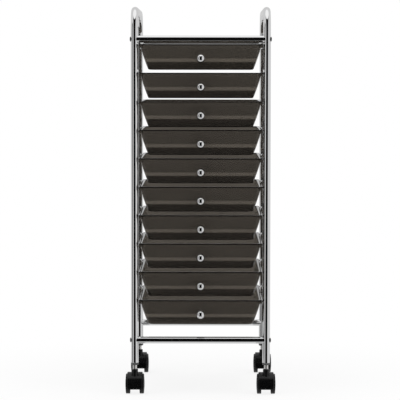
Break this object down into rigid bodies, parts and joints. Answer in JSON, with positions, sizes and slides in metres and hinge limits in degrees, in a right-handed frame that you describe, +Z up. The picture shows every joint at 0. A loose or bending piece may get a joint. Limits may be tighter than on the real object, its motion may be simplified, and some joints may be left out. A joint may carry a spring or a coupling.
{
  "type": "utility cart",
  "caption": "Rolling utility cart: chrome tube frame with arched side handles, a stack of sliding smoke-plastic drawers with round knobs, and twin-wheel swivel casters.",
  "frame": {"origin": "on the floor, midway between the four posts", "axes": "+Z up, -Y the way the drawers open, +X to the right of someone facing the drawers"},
  "size_m": [0.36, 0.4161, 0.925],
  "materials": {
    "chrome_tube": "bright chrome plating",
    "chrome_knob": "bright chrome plating",
    "bright_stem": "zinc-plated steel",
    "black_bolt": "black, satin",
    "dark_insert": "moulded, satin",
    "smoke_plastic": "glossy moulded plastic, translucent dark smoke brown",
    "caster_hood": "moulded, semi-gloss black",
    "caster_wheel": "moulded nylon, satin black"
  },
  "bodies": {
    "frame": {"left_side_tube": "chrome_tube", "right_side_tube": "chrome_tube", "left_slide_rods": "chrome_tube", "right_slide_rods": "chrome_tube", "top_front_rail": "chrome_tube", "top_rear_rail": "chrome_tube", "bottom_front_rail": "chrome_tube", "bottom_rear_rail": "chrome_tube", "rail_bolts": "black_bolt", "rail_inserts": "dark_insert", "stem_sockets": "dark_insert", "caster_stems": "bright_stem"},
    "drawer_1": {"drawer_1": "smoke_plastic", "knob_1": "chrome_knob", "knob_screw_1": "bright_stem"},
    "drawer_2": {"drawer_2": "smoke_plastic", "knob_2": "chrome_knob", "knob_screw_2": "bright_stem"},
    "drawer_3": {"drawer_3": "smoke_plastic", "knob_3": "chrome_knob", "knob_screw_3": "bright_stem"},
    "drawer_4": {"drawer_4": "smoke_plastic", "knob_4": "chrome_knob", "knob_screw_4": "bright_stem"},
    "drawer_5": {"drawer_5": "smoke_plastic", "knob_5": "chrome_knob", "knob_screw_5": "bright_stem"},
    "drawer_6": {"drawer_6": "smoke_plastic", "knob_6": "chrome_knob", "knob_screw_6": "bright_stem"},
    "drawer_7": {"drawer_7": "smoke_plastic", "knob_7": "chrome_knob", "knob_screw_7": "bright_stem"},
    "drawer_8": {"drawer_8": "smoke_plastic", "knob_8": "chrome_knob", "knob_screw_8": "bright_stem"},
    "drawer_9": {"drawer_9": "smoke_plastic", "knob_9": "chrome_knob", "knob_screw_9": "bright_stem"},
    "drawer_10": {"drawer_10": "smoke_plastic", "knob_10": "chrome_knob", "knob_screw_10": "bright_stem"},
    "front_left_caster": {"front_left_caster_hood": "caster_hood", "front_left_caster_axle": "bright_stem"},
    "front_left_left_wheel": {"front_left_left_wheel": "caster_wheel"},
    "front_left_right_wheel": {"front_left_right_wheel": "caster_wheel"},
    "front_right_caster": {"front_right_caster_hood": "caster_hood", "front_right_caster_axle": "bright_stem"},
    "front_right_left_wheel": {"front_right_left_wheel": "caster_wheel"},
    "front_right_right_wheel": {"front_right_right_wheel": "caster_wheel"},
    "rear_left_caster": {"rear_left_caster_hood": "caster_hood", "rear_left_caster_axle": "bright_stem"},
    "rear_left_left_wheel": {"rear_left_left_wheel": "caster_wheel"},
    "rear_left_right_wheel": {"rear_left_right_wheel": "caster_wheel"},
    "rear_right_caster": {"rear_right_caster_hood": "caster_hood", "rear_right_caster_axle": "bright_stem"},
    "rear_right_left_wheel": {"rear_right_left_wheel": "caster_wheel"},
    "rear_right_right_wheel": {"rear_right_right_wheel": "caster_wheel"}
  },
  "joints": [
    {"name": "drawer_1_slide", "type": "slide", "parent": "frame", "child": "drawer_1", "axis": [0, -1, 0], "range_m": [0, 0.25]},
    {"name": "drawer_2_slide", "type": "slide", "parent": "frame", "child": "drawer_2", "axis": [0, -1, 0], "range_m": [0, 0.25]},
    {"name": "drawer_3_slide", "type": "slide", "parent": "frame", "child": "drawer_3", "axis": [0, -1, 0], "range_m": [0, 0.25]},
    {"name": "drawer_4_slide", "type": "slide", "parent": "frame", "child": "drawer_4", "axis": [0, -1, 0], "range_m": [0, 0.25]},
    {"name": "drawer_5_slide", "type": "slide", "parent": "frame", "child": "drawer_5", "axis": [0, -1, 0], "range_m": [0, 0.25]},
    {"name": "drawer_6_slide", "type": "slide", "parent": "frame", "child": "drawer_6", "axis": [0, -1, 0], "range_m": [0, 0.25]},
    {"name": "drawer_7_slide", "type": "slide", "parent": "frame", "child": "drawer_7", "axis": [0, -1, 0], "range_m": [0, 0.25]},
    {"name": "drawer_8_slide", "type": "slide", "parent": "frame", "child": "drawer_8", "axis": [0, -1, 0], "range_m": [0, 0.25]},
    {"name": "drawer_9_slide", "type": "slide", "parent": "frame", "child": "drawer_9", "axis": [0, -1, 0], "range_m": [0, 0.25]},
    {"name": "drawer_10_slide", "type": "slide", "parent": "frame", "child": "drawer_10", "axis": [0, -1, 0], "range_m": [0, 0.25]},
    {"name": "front_left_swivel", "type": "hinge", "parent": "frame", "child": "front_left_caster", "pos_m": [-0.157, -0.175, 0.061], "axis": [0, 0, 1], "continuous": true},
    {"name": "front_left_left_wheel_spin", "type": "hinge", "parent": "front_left_caster", "child": "front_left_left_wheel", "pos_m": [-0.157, -0.1625, 0.024], "axis": [1, 0, 0], "continuous": true},
    {"name": "front_left_right_wheel_spin", "type": "hinge", "parent": "front_left_caster", "child": "front_left_right_wheel", "pos_m": [-0.157, -0.1625, 0.024], "axis": [1, 0, 0], "continuous": true},
    {"name": "front_right_swivel", "type": "hinge", "parent": "frame", "child": "front_right_caster", "pos_m": [0.157, -0.175, 0.061], "axis": [0, 0, 1], "continuous": true},
    {"name": "front_right_left_wheel_spin", "type": "hinge", "parent": "front_right_caster", "child": "front_right_left_wheel", "pos_m": [0.157, -0.1625, 0.024], "axis": [1, 0, 0], "continuous": true},
    {"name": "front_right_right_wheel_spin", "type": "hinge", "parent": "front_right_caster", "child": "front_right_right_wheel", "pos_m": [0.157, -0.1625, 0.024], "axis": [1, 0, 0], "continuous": true},
    {"name": "rear_left_swivel", "type": "hinge", "parent": "frame", "child": "rear_left_caster", "pos_m": [-0.157, 0.175, 0.061], "axis": [0, 0, 1], "continuous": true},
    {"name": "rear_left_left_wheel_spin", "type": "hinge", "parent": "rear_left_caster", "child": "rear_left_left_wheel", "pos_m": [-0.157, 0.1875, 0.024], "axis": [1, 0, 0], "continuous": true},
    {"name": "rear_left_right_wheel_spin", "type": "hinge", "parent": "rear_left_caster", "child": "rear_left_right_wheel", "pos_m": [-0.157, 0.1875, 0.024], "axis": [1, 0, 0], "continuous": true},
    {"name": "rear_right_swivel", "type": "hinge", "parent": "frame", "child": "rear_right_caster", "pos_m": [0.157, 0.175, 0.061], "axis": [0, 0, 1], "continuous": true},
    {"name": "rear_right_left_wheel_spin", "type": "hinge", "parent": "rear_right_caster", "child": "rear_right_left_wheel", "pos_m": [0.157, 0.1875, 0.024], "axis": [1, 0, 0], "continuous": true},
    {"name": "rear_right_right_wheel_spin", "type": "hinge", "parent": "rear_right_caster", "child": "rear_right_right_wheel", "pos_m": [0.157, 0.1875, 0.024], "axis": [1, 0, 0], "continuous": true}
  ]
}
